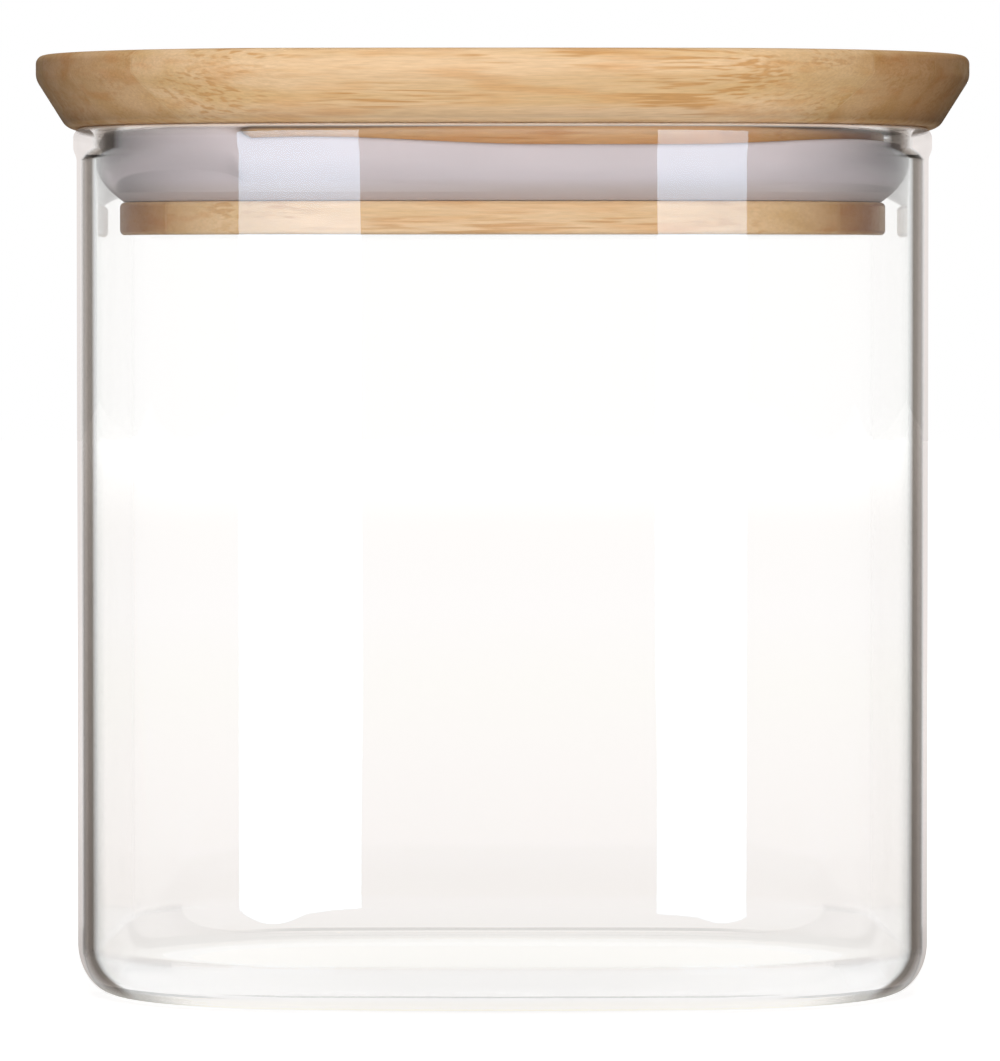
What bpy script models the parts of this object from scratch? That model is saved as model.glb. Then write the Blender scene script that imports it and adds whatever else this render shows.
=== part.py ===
"""A square glass storage jar with a bamboo lid and a silicone seal.

Every piece is a rounded square seen from above. The four of them share one plan, so a
piece is described by one outline in the XZ plane, drawn at the middle of the right-hand
side, which is then carried once round the plan. Run it in Blender 4.5.
"""

import math

import bmesh
import bpy
from mathutils import Vector

MM = 0.001

# The plan that all pieces share
BODY_WIDTH = 100.0 * MM  # glass, from the middle of one side to the middle of the other
CORNER_RADIUS = 29.0 * MM  # of the glass's outer corners, seen from above
SIDE_BOW = 0.6 * MM  # how far the middle of a side stands out past its ends

# Glass jar
JAR_HEIGHT = 100.4 * MM  # base to rim
WALL = 2.1 * MM
FLOOR_THICKNESS = 2.0 * MM
HEEL_RADIUS = 4.5 * MM  # between the wall and the foot, outside
FOOT_WIDTH = 5.0 * MM  # the flat ring that the jar stands on
PUSH_UP = 0.6 * MM  # how far the middle of the floor is raised
PUSH_UP_RUN = 8.0 * MM  # the slope between the foot and the raised middle
BEAD_HEIGHT = 3.8 * MM  # the thickened rim
BEAD_PROUD = 0.4 * MM

# Bamboo board, the part of the lid that shows above the rim
BOARD_OVERHANG = 4.7 * MM  # past the glass on each side
BOARD_THICKNESS = 8.0 * MM
BOARD_BAND = 2.7 * MM  # height of the upright edge above the bevel, with its rounding
BEVEL_RUN = 3.5 * MM  # how far the bevel draws the underside in
BOARD_TOP_ROUND = 1.0 * MM
BOARD_BOTTOM_ROUND = 1.0 * MM
RIM_GAP = 0.3 * MM  # between the rim and the board that rests on it

# Bamboo plug, glued under the board
PLUG_CLEARANCE = 2.9 * MM  # between the plug and the glass
NECK_HEIGHT = 3.1 * MM
GROOVE_HEIGHT = 5.6 * MM
GROOVE_DEPTH = 4.0 * MM
DISC_THICKNESS = 3.8 * MM
DISC_ROUND = 0.6 * MM
GLUE_LINE = 0.3 * MM

# Silicone ring in the plug's groove
SEAL_GAP = 0.3 * MM  # between the lip and the glass that it presses on
SEAL_FIT = 0.3 * MM  # between the ring and the wood round it
SEAL_SHOULDER = 1.8 * MM  # how far the ring's foot stays inside the plug's edge
LIP_THICKNESS = 1.2 * MM
LIP_RISE = 1.1 * MM  # how far the lip stands above the groove
LIP_BAND = 0.8 * MM  # the upright stretch of the lip that meets the glass
TROUGH_DEPTH = 2.4 * MM  # between the lip and the ring's foot

# How finely round stretches are divided
SIDE_STEPS = 2
CORNER_STEPS = 10
HEEL_STEPS = 6
RIM_STEPS = 8
ROUND_STEPS = 3
BOWL_STEPS = 6

# Sizes that follow from those above
HALF_WIDTH = BODY_WIDTH / 2
CORE_HALF = HALF_WIDTH - CORNER_RADIUS
CORE_CORNER = CORE_HALF - SIDE_BOW
SIDE_RADIUS = (SIDE_BOW**2 + CORE_CORNER**2) / (2 * SIDE_BOW)
SIDE_ANGLE = math.asin(CORE_CORNER / SIDE_RADIUS)
INNER_HALF = HALF_WIDTH - WALL
PLUG_HALF = INNER_HALF - PLUG_CLEARANCE
GROOVE_HALF = PLUG_HALF - GROOVE_DEPTH
BOARD_BASE = JAR_HEIGHT + RIM_GAP
WELD_DISTANCE = WALL / 10_000

UP = Vector((0.0, 0.0, 1.0))
RIGHT_ANGLE = math.pi / 2
SHARP_ANGLE = math.radians(30.0)


def arc(centre, radius, start, end, steps):
    """Points (x, z) on a circle about centre, from one angle to another, in radians."""
    points = []
    for step in range(steps + 1):
        angle = start + (end - start) * step / steps
        x = centre[0] + radius * math.cos(angle)
        z = centre[1] + radius * math.sin(angle)
        points.append((x, z))
    return points


def ellipse_arc(centre, half_width, half_height, start, end, steps):
    """As arc, on an ellipse with its axes along X and Z."""
    unit = arc((0.0, 0.0), 1.0, start, end, steps)
    return [(centre[0] + half_width * x, centre[1] + half_height * z) for x, z in unit]


def spin(bm, edges, centre, angle, steps):
    """Carries the edges about an upright axis and returns the last copy of them."""
    made = bmesh.ops.spin(
        bm, geom=edges, cent=centre, axis=UP, dvec=(0.0, 0.0, 0.0), angle=angle, steps=steps
    )
    return [item for item in made["geom_last"] if isinstance(item, bmesh.types.BMEdge)]


def carry_round_plan(bm, edges):
    """Takes an outline at the middle of the right-hand side once round the plan.

    The core is a square with slightly bowed sides. The outline turns about the far centre
    of a side's bow, then about a corner of the core, then about the next side's centre.
    """
    for side in range(4):
        turn = side * RIGHT_ANGLE
        here = Vector((math.cos(turn), math.sin(turn), 0.0))
        ahead = Vector((-math.sin(turn), math.cos(turn), 0.0))
        side_centre = here * (CORE_HALF - SIDE_RADIUS)
        next_centre = ahead * (CORE_HALF - SIDE_RADIUS)
        corner = (here + ahead) * CORE_CORNER
        edges = spin(bm, edges, side_centre, SIDE_ANGLE, SIDE_STEPS)
        edges = spin(bm, edges, corner, RIGHT_ANGLE - 2 * SIDE_ANGLE, CORNER_STEPS)
        edges = spin(bm, edges, next_centre, SIDE_ANGLE, SIDE_STEPS)


def rounded_square_piece(name, outline, closed, material, place, parent, collection):
    """Makes one piece from its outline of (x, z) points and puts it at a height.

    A closed outline gives a ring. An open one gives a body whose two ends are flat faces.
    """
    bm = bmesh.new()
    verts = [bm.verts.new((x, 0.0, z)) for x, z in outline]
    pairs = list(zip(verts, verts[1:]))
    if closed:
        pairs.append((verts[-1], verts[0]))
    carry_round_plan(bm, [bm.edges.new(pair) for pair in pairs])
    bmesh.ops.remove_doubles(bm, verts=bm.verts[:], dist=WELD_DISTANCE)
    open_edges = [edge for edge in bm.edges if edge.is_boundary]
    if open_edges:
        bmesh.ops.holes_fill(bm, edges=open_edges, sides=0)
    bmesh.ops.recalc_face_normals(bm, faces=bm.faces[:])

    mesh = bpy.data.meshes.new(name)
    bm.to_mesh(mesh)
    bm.free()
    mesh.shade_smooth()
    mesh.set_sharp_from_angle(angle=SHARP_ANGLE)
    mesh.materials.append(material)

    piece = bpy.data.objects.new(name, mesh)
    piece.location = (0.0, 0.0, place)
    piece.parent = parent
    collection.objects.link(piece)
    return piece


def plain_material(name, colour, roughness, transmission=0.0, ior=1.5):
    """A Principled material with one colour."""
    material = bpy.data.materials.new(name)
    material.use_nodes = True
    shader = material.node_tree.nodes["Principled BSDF"]
    shader.inputs["Base Color"].default_value = (*colour, 1.0)
    shader.inputs["Roughness"].default_value = roughness
    shader.inputs["Metallic"].default_value = 0.0
    shader.inputs["Transmission Weight"].default_value = transmission
    shader.inputs["IOR"].default_value = ior
    material.diffuse_color = (*colour, 1.0)
    return material


def glass_outline():
    """Underside, heel, wall, bead, rim, inner wall, inner heel and floor, from z = 0."""
    foot_outer = HALF_WIDTH - HEEL_RADIUS
    foot_inner = foot_outer - FOOT_WIDTH
    raised = foot_inner - PUSH_UP_RUN
    underside = [(raised, PUSH_UP), (foot_inner, 0.0)]
    heel = arc((foot_outer, HEEL_RADIUS), HEEL_RADIUS, -RIGHT_ANGLE, 0.0, HEEL_STEPS)

    # The bead swells from the wall in a soft S, and the rim above it is half round.
    rim_half = (WALL + BEAD_PROUD) / 2
    rim_centre = (INNER_HALF + rim_half, JAR_HEIGHT - rim_half)
    bead_base = JAR_HEIGHT - BEAD_HEIGHT
    bead_full = bead_base + BEAD_HEIGHT / 3
    swell = [
        (HALF_WIDTH, bead_base),
        (HALF_WIDTH + BEAD_PROUD / 2, (bead_base + bead_full) / 2),
        (HALF_WIDTH + BEAD_PROUD, bead_full),
    ]
    rim = arc(rim_centre, rim_half, 0.0, math.pi, RIM_STEPS)

    inner_radius = HEEL_RADIUS - WALL
    inner_centre = (INNER_HALF - inner_radius, FLOOR_THICKNESS + inner_radius)
    inner_heel = arc(inner_centre, inner_radius, 0.0, -RIGHT_ANGLE, HEEL_STEPS)
    floor = [(foot_inner, FLOOR_THICKNESS), (raised, FLOOR_THICKNESS + PUSH_UP)]
    return underside + heel + swell + rim + inner_heel + floor


def board_outline():
    """The board from its underside, at z = 0, up the bevel and the band to its top."""
    top_half = HALF_WIDTH + BOARD_OVERHANG
    bottom_half = top_half - BEVEL_RUN
    bevel_height = BOARD_THICKNESS - BOARD_BAND
    slope = math.atan2(bevel_height, BEVEL_RUN)

    # The lower rounding touches the flat underside and the bevel.
    set_in = BOARD_BOTTOM_ROUND * math.tan(slope / 2)
    low_centre = (bottom_half - set_in, BOARD_BOTTOM_ROUND)
    low = arc(low_centre, BOARD_BOTTOM_ROUND, -RIGHT_ANGLE, slope - RIGHT_ANGLE, ROUND_STEPS)
    high_centre = (top_half - BOARD_TOP_ROUND, BOARD_THICKNESS - BOARD_TOP_ROUND)
    high = arc(high_centre, BOARD_TOP_ROUND, 0.0, RIGHT_ANGLE, ROUND_STEPS)
    return low + [(top_half, bevel_height)] + high


def plug_outline():
    """The plug downwards from its glued face, at z = 0: neck, groove, disc, underside."""
    groove_top = -NECK_HEIGHT
    disc_top = groove_top - GROOVE_HEIGHT
    disc_base = disc_top - DISC_THICKNESS
    edge = PLUG_HALF - DISC_ROUND
    neck = [(PLUG_HALF, 0.0), (PLUG_HALF, groove_top)]
    groove = [(GROOVE_HALF, groove_top), (GROOVE_HALF, disc_top)]
    high = arc((edge, disc_top - DISC_ROUND), DISC_ROUND, RIGHT_ANGLE, 0.0, ROUND_STEPS)
    low = arc((edge, disc_base + DISC_ROUND), DISC_ROUND, 0.0, -RIGHT_ANGLE, ROUND_STEPS)
    return neck + groove + high + low


def seal_outline():
    """The ring with z = 0 at the groove's floor: foot, bowl, upright lip, trough."""
    base = SEAL_FIT
    foot_top = GROOVE_HEIGHT - SEAL_FIT
    inner = GROOVE_HALF + SEAL_FIT
    foot_half = PLUG_HALF - SEAL_SHOULDER
    lip_half = INNER_HALF - SEAL_GAP
    lip_top = GROOVE_HEIGHT + LIP_RISE
    lip_round = LIP_THICKNESS / 2
    lip_base = lip_top - lip_round - LIP_BAND

    bowl = ellipse_arc(
        (foot_half, lip_base), lip_half - foot_half, lip_base - base, -RIGHT_ANGLE, 0.0, BOWL_STEPS
    )
    lip = arc((lip_half - lip_round, lip_top - lip_round), lip_round, 0.0, math.pi, RIM_STEPS // 2)
    trough_outer = (lip_half - LIP_THICKNESS, foot_top - TROUGH_DEPTH / 2)
    trough_inner = (foot_half, foot_top - TROUGH_DEPTH)
    shoulder = (foot_half - LIP_THICKNESS / 2, foot_top)
    return [(inner, base)] + bowl + lip + [trough_outer, trough_inner, shoulder, (inner, foot_top)]


def clear_scene():
    for item in list(bpy.data.objects):
        bpy.data.objects.remove(item, do_unlink=True)


def lid_empty(collection):
    """The frame that the lid's pieces hang on, on the jar's axis at the board's underside."""
    empty = bpy.data.objects.new("lid_lift", None)
    empty.location = (0.0, 0.0, BOARD_BASE)
    empty.empty_display_size = HALF_WIDTH
    collection.objects.link(empty)
    return empty


def build():
    clear_scene()
    collection = bpy.data.collections.new("storage_jar")
    bpy.context.scene.collection.children.link(collection)

    glass = plain_material("clear_glass", (0.96, 0.97, 0.96), 0.02, 1.0, 1.47)
    board_wood = plain_material("bamboo_board", (0.62, 0.40, 0.20), 0.50)
    plug_wood = plain_material("bamboo_plug", (0.60, 0.37, 0.18), 0.55)
    silicone = plain_material("pale_silicone", (0.62, 0.58, 0.61), 0.45)

    rounded_square_piece("glass_jar", glass_outline(), False, glass, 0.0, None, collection)
    lid = lid_empty(collection)
    rounded_square_piece("lid_board", board_outline(), False, board_wood, 0.0, lid, collection)
    plug_top = -GLUE_LINE
    rounded_square_piece("lid_plug", plug_outline(), False, plug_wood, plug_top, lid, collection)
    groove_floor = plug_top - NECK_HEIGHT - GROOVE_HEIGHT
    rounded_square_piece("seal_ring", seal_outline(), True, silicone, groove_floor, lid, collection)


build()
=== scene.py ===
# %% [markdown]
# # A glass storage jar with a bamboo lid
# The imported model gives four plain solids: the glass, the lid's board, the plug under it
# and the silicone seal. They stay where they are and are the frame for everything here.
# This lesson makes a finer mesh over each of them, with Blender's own modelling tools, and
# then gives each one the finish of the real thing.

# %% Load the frame
import math
import bmesh
import bpy
from mathutils import Matrix, Vector


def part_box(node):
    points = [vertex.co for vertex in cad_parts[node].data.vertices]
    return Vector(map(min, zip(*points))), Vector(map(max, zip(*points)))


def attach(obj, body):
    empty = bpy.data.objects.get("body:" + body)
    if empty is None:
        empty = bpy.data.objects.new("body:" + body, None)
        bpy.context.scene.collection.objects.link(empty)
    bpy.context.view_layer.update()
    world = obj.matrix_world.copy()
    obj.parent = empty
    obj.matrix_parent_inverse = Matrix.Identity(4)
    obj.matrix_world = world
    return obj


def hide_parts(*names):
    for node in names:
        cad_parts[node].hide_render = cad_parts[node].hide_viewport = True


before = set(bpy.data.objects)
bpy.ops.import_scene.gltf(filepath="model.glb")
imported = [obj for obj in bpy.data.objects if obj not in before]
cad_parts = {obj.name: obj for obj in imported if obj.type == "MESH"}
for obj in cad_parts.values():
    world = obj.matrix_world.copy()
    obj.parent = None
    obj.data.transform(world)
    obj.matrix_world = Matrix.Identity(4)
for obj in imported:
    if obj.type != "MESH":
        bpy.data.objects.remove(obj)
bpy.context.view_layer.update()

mm = 0.001

# %% [markdown]
# ## The camera
# The photograph was taken with a long lens, a little above the plug and looking slightly
# down: no top of the lid shows, and the floor's far edge shows above its near edge. The
# height and distance follow from how strongly those edges curve.

# %% Camera
photo_long_side = 1061
focal_length_in_pixels = 7700
sensor = 36.0
camera_distance = 915 * mm
camera_height = 83 * mm
camera_shift_x = -0.3 * mm
look_down = math.radians(1.88)
nearest_seen = 10 * mm
farthest_seen = 20.0

camera_data = bpy.data.cameras.new("camera")
camera_data.sensor_width = sensor
camera_data.lens = sensor * focal_length_in_pixels / photo_long_side
camera_data.clip_start = nearest_seen
camera_data.clip_end = farthest_seen
camera = bpy.data.objects.new("camera", camera_data)
camera.location = (camera_shift_x, -camera_distance, camera_height)
camera.rotation_euler = (math.pi / 2 - look_down, 0.0, 0.0)
bpy.context.scene.collection.objects.link(camera)
bpy.context.scene.camera = camera
print("lens in mm:", round(camera_data.lens, 1))

# %% [markdown]
# ## Nodes by name
# Every finish below is built from nodes. A few short helpers keep that readable. The
# first adds a node with its settings, and the others each wire one common step, such as a
# sum, a ramp between levels or a mix of two colours.

# %% Node helpers
white = (1.0, 1.0, 1.0)


def add(tree, kind, links=None, **settings):
    """A node with its settings. links maps an input's name or number to a value or socket."""
    node = tree.nodes.new(kind)
    for name, value in settings.items():
        setattr(node, name, value)
    for key, value in (links or {}).items():
        socket = node.inputs[key]
        if isinstance(value, bpy.types.NodeSocket):
            tree.links.new(value, socket)
        else:
            socket.default_value = value
    return node


def new_tree(material):
    """Empties a material or world and gives its node tree."""
    material.use_nodes = True
    material.node_tree.nodes.clear()
    return material.node_tree


# %% Steps on numbers


def sum_up(tree, operation, *values):
    """One step of arithmetic on up to three numbers."""
    return add(tree, "ShaderNodeMath", dict(enumerate(values)), operation=operation).outputs[0]


def product(tree, first, *others):
    """Several numbers multiplied together."""
    for other in others:
        first = sum_up(tree, "MULTIPLY", first, other)
    return first


def rest_of(tree, value):
    """One minus the value."""
    return sum_up(tree, "SUBTRACT", 1.0, value)


def rescale(tree, value, old, new, how="LINEAR"):
    """Carries one range of values over to another, and holds both ends."""
    links = {0: value, 1: old[0], 2: old[1], 3: new[0], 4: new[1]}
    return add(tree, "ShaderNodeMapRange", links, interpolation_type=how).outputs[0]


def step_up(tree, value, edges):
    """0 below the first edge, 1 above the second, with a soft rise between."""
    return rescale(tree, value, edges, (0.0, 1.0), "SMOOTHSTEP")


def pick(tree, factor, first, second):
    """The first number where the factor is 0, the second where it is 1."""
    return add(tree, "ShaderNodeMix", {0: factor, 2: first, 3: second}).outputs[0]


# %% Steps on vectors and colours


def vector_step(tree, operation, *values):
    """One step on vectors. A length or a dot product comes out as a number."""
    node = add(tree, "ShaderNodeVectorMath", dict(enumerate(values)), operation=operation)
    return node.outputs["Value" if operation in ("LENGTH", "DOT_PRODUCT") else "Vector"]


def axes_of(tree, vector):
    """The three axes of a vector, as outputs named X, Y and Z."""
    return add(tree, "ShaderNodeSeparateXYZ", {0: vector}).outputs


def ramp(tree, factor, stops):
    """A ramp through (place, level or colour) stops."""
    node = add(tree, "ShaderNodeValToRGB", {0: factor})
    elements = node.color_ramp.elements
    for place, colour in stops:
        colour = (colour,) * 3 if isinstance(colour, float) else colour
        elements.new(place).color = tuple(colour) + (1.0,)
    elements.remove(elements[0])
    elements.remove(elements[-1])
    return node.outputs[0]


def blend(tree, factor, first, second, how="MIX"):
    """Mixes two colours, each of them a socket or (red, green, blue)."""
    first, second = [c + (1.0,) if isinstance(c, tuple) else c for c in (first, second)]
    links = {0: factor, 6: first, 7: second}
    return add(tree, "ShaderNodeMix", links, data_type="RGBA", blend_type=how).outputs[2]


def shade_with(tree, colour, other):
    """A colour darkened by another colour or level."""
    return blend(tree, 1.0, colour, other, "MULTIPLY")


def noise(tree, place, stretch, detail, roughness=0.5):
    """Noise with so many features in a metre along x, y and z."""
    mapping = add(tree, "ShaderNodeMapping", {"Vector": place, "Scale": stretch})
    links = {"Vector": mapping.outputs[0], "Scale": 1.0, "Detail": detail, "Roughness": roughness}
    return add(tree, "ShaderNodeTexNoise", links).outputs[0]


# %% [markdown]
# ## Studio
# The setting is a white table in front of a white backdrop. The world is the backdrop,
# and it answers each kind of ray in its own way. It is white to the camera and through
# glass. Polished surfaces mirror it as white behind and below the jar and nearly black in
# front, where a studio is dark. Satin ones get an even grey, and matt ones a weak fill
# that comes mostly from low down in front.

# %% Room
scene = bpy.context.scene
scene.view_settings.view_transform = "Standard"
room_fill = 0.07
fill_from_below = 0.8
room_white = 1.0
room_white_through_glass = 1.05
room_mirrored_in_front = 0.10
table_mirrored = 0.95
room_in_satin = 0.15
backdrop_ahead = (0.2, 0.8)
table_below = (-0.15, -0.45)

world = bpy.data.worlds.new("white_room")
scene.world = world
tree = new_tree(world)
rays = add(tree, "ShaderNodeLightPath").outputs
direction = axes_of(tree, add(tree, "ShaderNodeTexCoord").outputs["Generated"])
backdrop = rescale(tree, direction["Y"], backdrop_ahead, (room_mirrored_in_front, 1.0), "SMOOTHSTEP")
table_top = rescale(tree, direction["Z"], table_below, (0.0, table_mirrored), "SMOOTHSTEP")
mirrored = sum_up(tree, "MAXIMUM", backdrop, table_top)
mirrored = pick(tree, rays["Is Singular Ray"], room_in_satin, mirrored)
below = sum_up(tree, "MAXIMUM", product(tree, direction["Z"], -fill_from_below), 0.0)
nearer = sum_up(tree, "LESS_THAN", direction["Y"], 0.0)
fill = sum_up(tree, "ADD", product(tree, below, nearer), room_fill)
level = pick(tree, rays["Is Glossy Ray"], fill, mirrored)
level = pick(tree, rays["Is Camera Ray"], level, room_white)
level = pick(tree, rays["Is Transmission Ray"], level, room_white_through_glass)
background = add(tree, "ShaderNodeBackground", {"Color": white + (1.0,), "Strength": level})
add(tree, "ShaderNodeOutputWorld", {"Surface": background.outputs[0]})
print("nodes in the room's light:", len(tree.nodes))

# %% [markdown]
# The table is a plane. Its white too is only for the rays that look at it. Seen directly
# it greys a little towards the jar. Seen through the glass it carries painted light and
# shade, by the distance from the jar's middle in metres: painted warm light under the
# floor, painted shade just behind it and white farther back. The ramp holds them as shares
# of the brightest, and the result is scaled back up.

# %% Table
table_size = 6.0
table_white = 0.75
white_through_glass = 0.30
glow_near = 0.84
glow_far = 1.0
glow_reach = 0.5
brightest_glow = 1.2
# Painted light under the floor and painted shade just behind the jar, seen through the glass.
painted_light_and_shade_through_glass = (
    (0.0, (0.99, 0.98, 0.95)),
    (0.05, (1.0, 0.985, 0.95)),
    (0.062, (0.83, 0.805, 0.78)),
    (0.1, (0.80, 0.77, 0.75)),
    (0.2, (0.83, 0.80, 0.785)),
    (0.4, (0.87, 0.845, 0.83)),
    (0.65, (0.905, 0.89, 0.865)),
    (1.0, (0.95, 0.935, 0.93)),
    (1.7, (1.0, 0.985, 0.975)),
    (3.0, (1.12, 1.105, 1.09)),
)

bpy.ops.object.select_all(action="DESELECT")
bpy.ops.mesh.primitive_plane_add(size=table_size, location=(0, 0, 0))
table = bpy.context.object
table.name = "table"
table.visible_glossy = False
table.visible_diffuse = False
finish = bpy.data.materials.new("white_table")
tree = new_tree(finish)
rays = add(tree, "ShaderNodeLightPath").outputs
reach = vector_step(tree, "LENGTH", add(tree, "ShaderNodeTexCoord").outputs["Object"])
glow = rescale(tree, reach, (0.0, glow_reach), (glow_near, glow_far), "SMOOTHSTEP")
glow = product(tree, glow, rays["Is Camera Ray"])
half_table = table_size / 2
stops = [(at / half_table, Vector(tone) / brightest_glow) for at, tone in painted_light_and_shade_through_glass]
seen_through = ramp(tree, sum_up(tree, "DIVIDE", reach, half_table), stops)
brighten = {0: seen_through, "Scale": brightest_glow}
seen_through = add(tree, "ShaderNodeVectorMath", brighten, operation="SCALE").outputs[0]
glow = blend(tree, rays["Is Transmission Ray"], glow, seen_through)
level = pick(tree, rays["Is Transmission Ray"], table_white, white_through_glass)
matte = add(tree, "ShaderNodeBsdfDiffuse", {"Color": level})
glow = add(tree, "ShaderNodeEmission", {"Color": glow, "Strength": 1.0})
both = add(tree, "ShaderNodeAddShader", {0: matte.outputs[0], 1: glow.outputs[0]})
add(tree, "ShaderNodeOutputMaterial", {"Surface": both.outputs[0]})
table.data.materials.append(finish)
print("table in m:", table_size)

# %% [markdown]
# The two upright bands that shine on the glass are a pair of soft boxes in front, so
# these serve as reflections only. The light on wood and silicone comes from a panel
# between them, with one behind and one overhead for the other sides. Those three are
# linked to the pieces that they light, and the glass isn't one of them. The panels in
# front and behind give no highlights either, because at a grazing angle these would burn
# out the board's top. The glass rim is slightly milky, as a painted highlight, and has a
# pair of lights of its own.

# %% Soft boxes
box_distance = 1.0
box_bottom = -69 * mm
box_top = 200 * mm
box_brightness = 6.3
box_colour = (0.75, 1.0, 1.25)
box_bearings = {"soft_box_left": (-39.0, -6.45), "soft_box_right": (7.1, 30.0)}
in_front = -1
behind = 1


def area_lamp(name, place, facing, width, height, brightness):
    """A panel that the camera doesn't see directly."""
    data = bpy.data.lights.new(name, "AREA")
    data.shape = "RECTANGLE"
    data.size = width
    data.size_y = height
    data.energy = brightness * math.pi * width * height
    lamp = bpy.data.objects.new(name, data)
    lamp.location = place
    lamp.rotation_euler = Vector(facing).to_track_quat("-Z", "Y").to_euler()
    lamp.visible_camera = False
    lamp.visible_transmission = False
    scene.collection.objects.link(lamp)
    return lamp


def standing_panel(name, side, edges, bottom, top, brightness):
    """A panel that faces the jar's axis, between two bearings from the line of sight."""
    bearing = math.radians(sum(edges) / 2)
    width = 2 * box_distance * math.tan(math.radians((edges[1] - edges[0]) / 2))
    across = box_distance * math.sin(bearing)
    along = side * box_distance * math.cos(bearing)
    place = (across, along, (bottom + top) / 2)
    return area_lamp(name, place, (-across, -along, 0), width, top - bottom, brightness)


for name, edges in box_bearings.items():
    lamp = standing_panel(name, in_front, edges, box_bottom, box_top, box_brightness)
    lamp.data.color = box_colour
    lamp.visible_diffuse = False
print("soft boxes:", len(box_bearings))

# %% Panels for wood, silicone and rim
panel_bottom = 2 * mm
panel_top = 300 * mm
front_bearings = (-13.0, 10.0)
back_bearings = (-20.0, 20.0)
front_brightness = 24.2
back_brightness = 14.0
rim_brightness = 16.0
overhead_height = 1.3
overhead_size = 1.0
overhead_brightness = 3.0

front = standing_panel("front_panel", in_front, front_bearings, panel_bottom, panel_top, front_brightness)
back = standing_panel("back_panel", behind, back_bearings, panel_bottom, panel_top, back_brightness)
overhead = area_lamp(
    "overhead", (0, 0, overhead_height), (0, 0, -1), overhead_size, overhead_size, overhead_brightness
)
lit_by_panels = bpy.data.collections.new("lit_by_panels")
lit_with_table = bpy.data.collections.new("lit_with_table")
lit_with_table.objects.link(table)
for lamp, receivers in ((front, lit_by_panels), (back, lit_by_panels), (overhead, lit_with_table)):
    lamp.light_linking.receiver_collection = receivers
    lamp.visible_glossy = lamp is overhead
lit_by_rim_light = bpy.data.collections.new("lit_by_rim_light")
for name, side in (("rim_light_front", in_front), ("rim_light_back", behind)):
    lamp = standing_panel(name, side, back_bearings, panel_bottom, panel_top, rim_brightness)
    lamp.visible_glossy = False
    lamp.light_linking.receiver_collection = lit_by_rim_light
print("lamps:", len(bpy.data.lights))

# %% [markdown]
# ## One plan for every piece
# Seen from above, each piece is a square with very large rounded corners and sides that
# bow out by about half a millimetre. So a piece needs only its outline, drawn at the middle of
# the right-hand side. A single vertex is extruded along the outline's points, and the
# line is then spun about one centre after another, once round the plan.

# %% Plan
corner_radius = 29 * mm
side_bow = 0.6 * mm
bead_proud = 0.4 * mm
wall = 2.1 * mm

glass_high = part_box("glass_jar")[1]
glass_half = glass_high.x - bead_proud
core_half = glass_half - corner_radius
core_corner = core_half - side_bow
side_radius = (side_bow**2 + core_corner**2) / (2 * side_bow)
side_angle = math.asin(core_corner / side_radius)
right_angle = math.pi / 2
print("radius of a bowed side in mm:", round(side_radius / mm))

# %% Lines of an outline


def arc(centre, radius, start, end, steps):
    """Points (x, z) on a circle about centre, from one angle to another."""
    angles = [start + (end - start) * step / steps for step in range(steps + 1)]
    return [(centre[0] + radius * math.cos(a), centre[1] + radius * math.sin(a)) for a in angles]


def swell(low, high, steps):
    """Points of a soft S from low to high, both (x, z), without its two ends."""
    points = []
    for step in range(1, steps):
        share = step / steps
        eased = (1 - math.cos(math.pi * share)) / 2
        x = low[0] + (high[0] - low[0]) * eased
        points.append((x, low[1] + (high[1] - low[1]) * share))
    return points


# %% Spinning an outline into a piece
side_steps = 8
corner_steps = 36
merge_distance = 0.01 * mm
smooth_below = math.radians(35)


def draw_outline(name, points, closed):
    """A mesh of one line through the points (x, z), grown from a single vertex."""
    bpy.ops.object.select_all(action="DESELECT")
    first = (points[0][0], 0.0, points[0][1])
    bpy.ops.mesh.primitive_plane_add(size=mm, location=first)
    piece = bpy.context.object
    piece.name = name
    piece.data.name = name
    bpy.ops.object.transform_apply(location=True, rotation=True, scale=True)
    bpy.ops.object.mode_set(mode="EDIT")
    bpy.ops.mesh.select_mode(type="VERT")
    bpy.ops.mesh.select_all(action="SELECT")
    bpy.ops.mesh.merge(type="CENTER")
    for here, there in zip(points, points[1:]):
        step = (there[0] - here[0], 0.0, there[1] - here[1])
        bpy.ops.mesh.extrude_vertices_move(TRANSFORM_OT_translate={"value": step})
    if closed:
        last = (points[0][0] - points[-1][0], 0.0, points[0][1] - points[-1][1])
        bpy.ops.mesh.extrude_vertices_move(TRANSFORM_OT_translate={"value": last})
        bpy.ops.mesh.select_all(action="SELECT")
        bpy.ops.mesh.remove_doubles(threshold=merge_distance)
    return piece


def spin_selected(centre, angle, steps):
    """Spins what is selected about an upright axis, anticlockwise as seen from above."""
    bpy.ops.mesh.spin(steps=steps, angle=-angle, center=centre, axis=(0, 0, 1))


def carry_round_plan():
    """Spins the drawn line about a side's far centre, a corner, the next side, and so on."""
    bpy.ops.mesh.select_all(action="SELECT")
    for side in range(4):
        turn = Matrix.Rotation(side * right_angle, 3, "Z")
        here = turn @ Vector((core_half - side_radius, 0, 0))
        ahead = turn @ Vector((0, core_half - side_radius, 0))
        corner = turn @ Vector((core_corner, core_corner, 0))
        spin_selected(here, side_angle, side_steps)
        spin_selected(corner, right_angle - 2 * side_angle, corner_steps)
        spin_selected(ahead, side_angle, side_steps)
    bpy.ops.mesh.select_all(action="SELECT")
    bpy.ops.mesh.remove_doubles(threshold=merge_distance)


def close_ends():
    """Fills the flat openings that an open outline leaves, as the underside of a board."""
    bpy.ops.mesh.select_all(action="DESELECT")
    bpy.ops.mesh.select_mode(type="EDGE")
    bpy.ops.mesh.select_non_manifold()
    bpy.ops.mesh.fill_holes(sides=0)
    bpy.ops.mesh.select_mode(type="VERT")


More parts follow.
